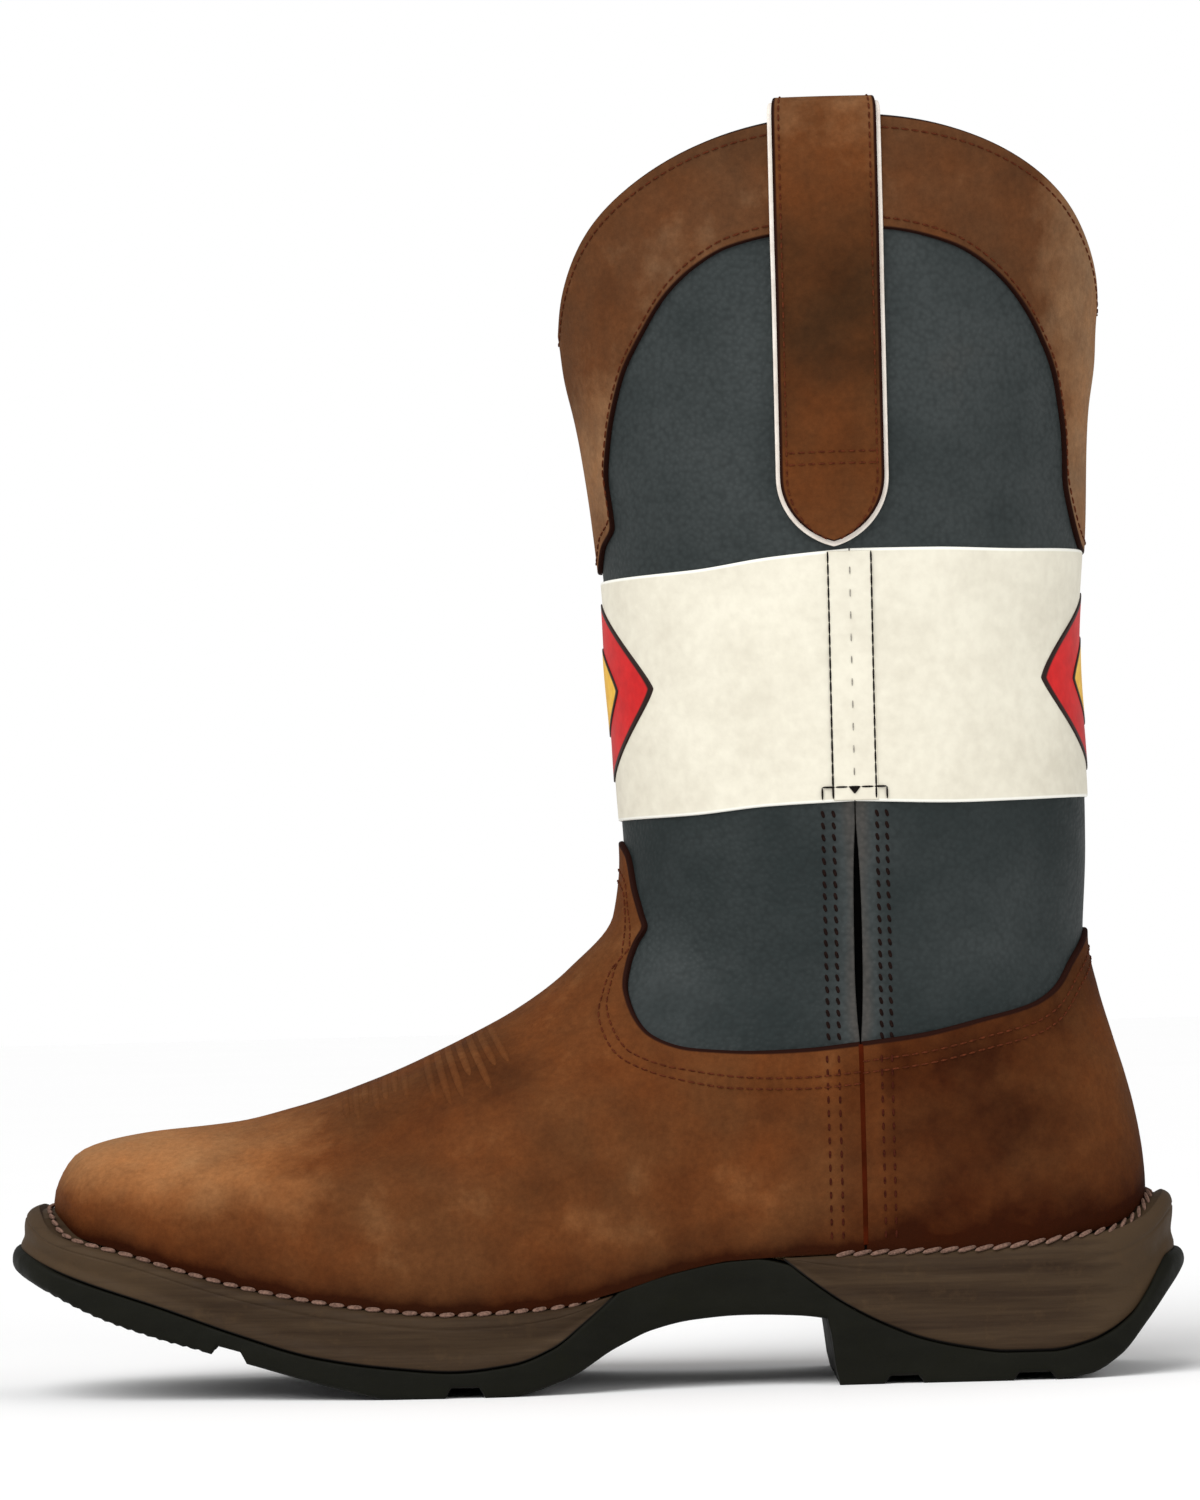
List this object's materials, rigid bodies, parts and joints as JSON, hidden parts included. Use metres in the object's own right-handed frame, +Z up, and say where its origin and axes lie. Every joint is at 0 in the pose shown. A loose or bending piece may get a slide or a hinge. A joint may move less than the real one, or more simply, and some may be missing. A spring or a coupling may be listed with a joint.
{
  "type": "western boot",
  "caption": "Left pull-on western boot with a squared toe, banded leather shaft, scalloped collar, folded pull straps, stitched welt and a rubber sole with a stepped heel.",
  "frame": {"origin": "on the floor below the middle of the boot's box", "axes": "+Z up the shaft, -X towards the toe, -Y towards the outer side of the left foot"},
  "size_m": [0.306, 0.1105, 0.3291],
  "materials": {
    "brown_leather": "matt oiled brown leather, mottled",
    "slate_leather": "satin slate blue-grey leather with a fine pebble grain",
    "taupe_rubber": "matt taupe brown rubber",
    "black_rubber": "matt black rubber",
    "insole_leather": "matt tan leather"
  },
  "bodies": {
    "root": {"outsole": "black_rubber", "forefoot_midsole": "taupe_rubber", "heel_midsole": "taupe_rubber", "forefoot_welt": "taupe_rubber", "heel_welt": "taupe_rubber", "insole": "insole_leather", "upper": "slate_leather", "vamp": "brown_leather", "counter": "brown_leather", "front_collar": "brown_leather", "back_collar": "brown_leather", "outer_pull_strap": "brown_leather", "inner_pull_strap": "brown_leather"}
  },
  "joints": []
}
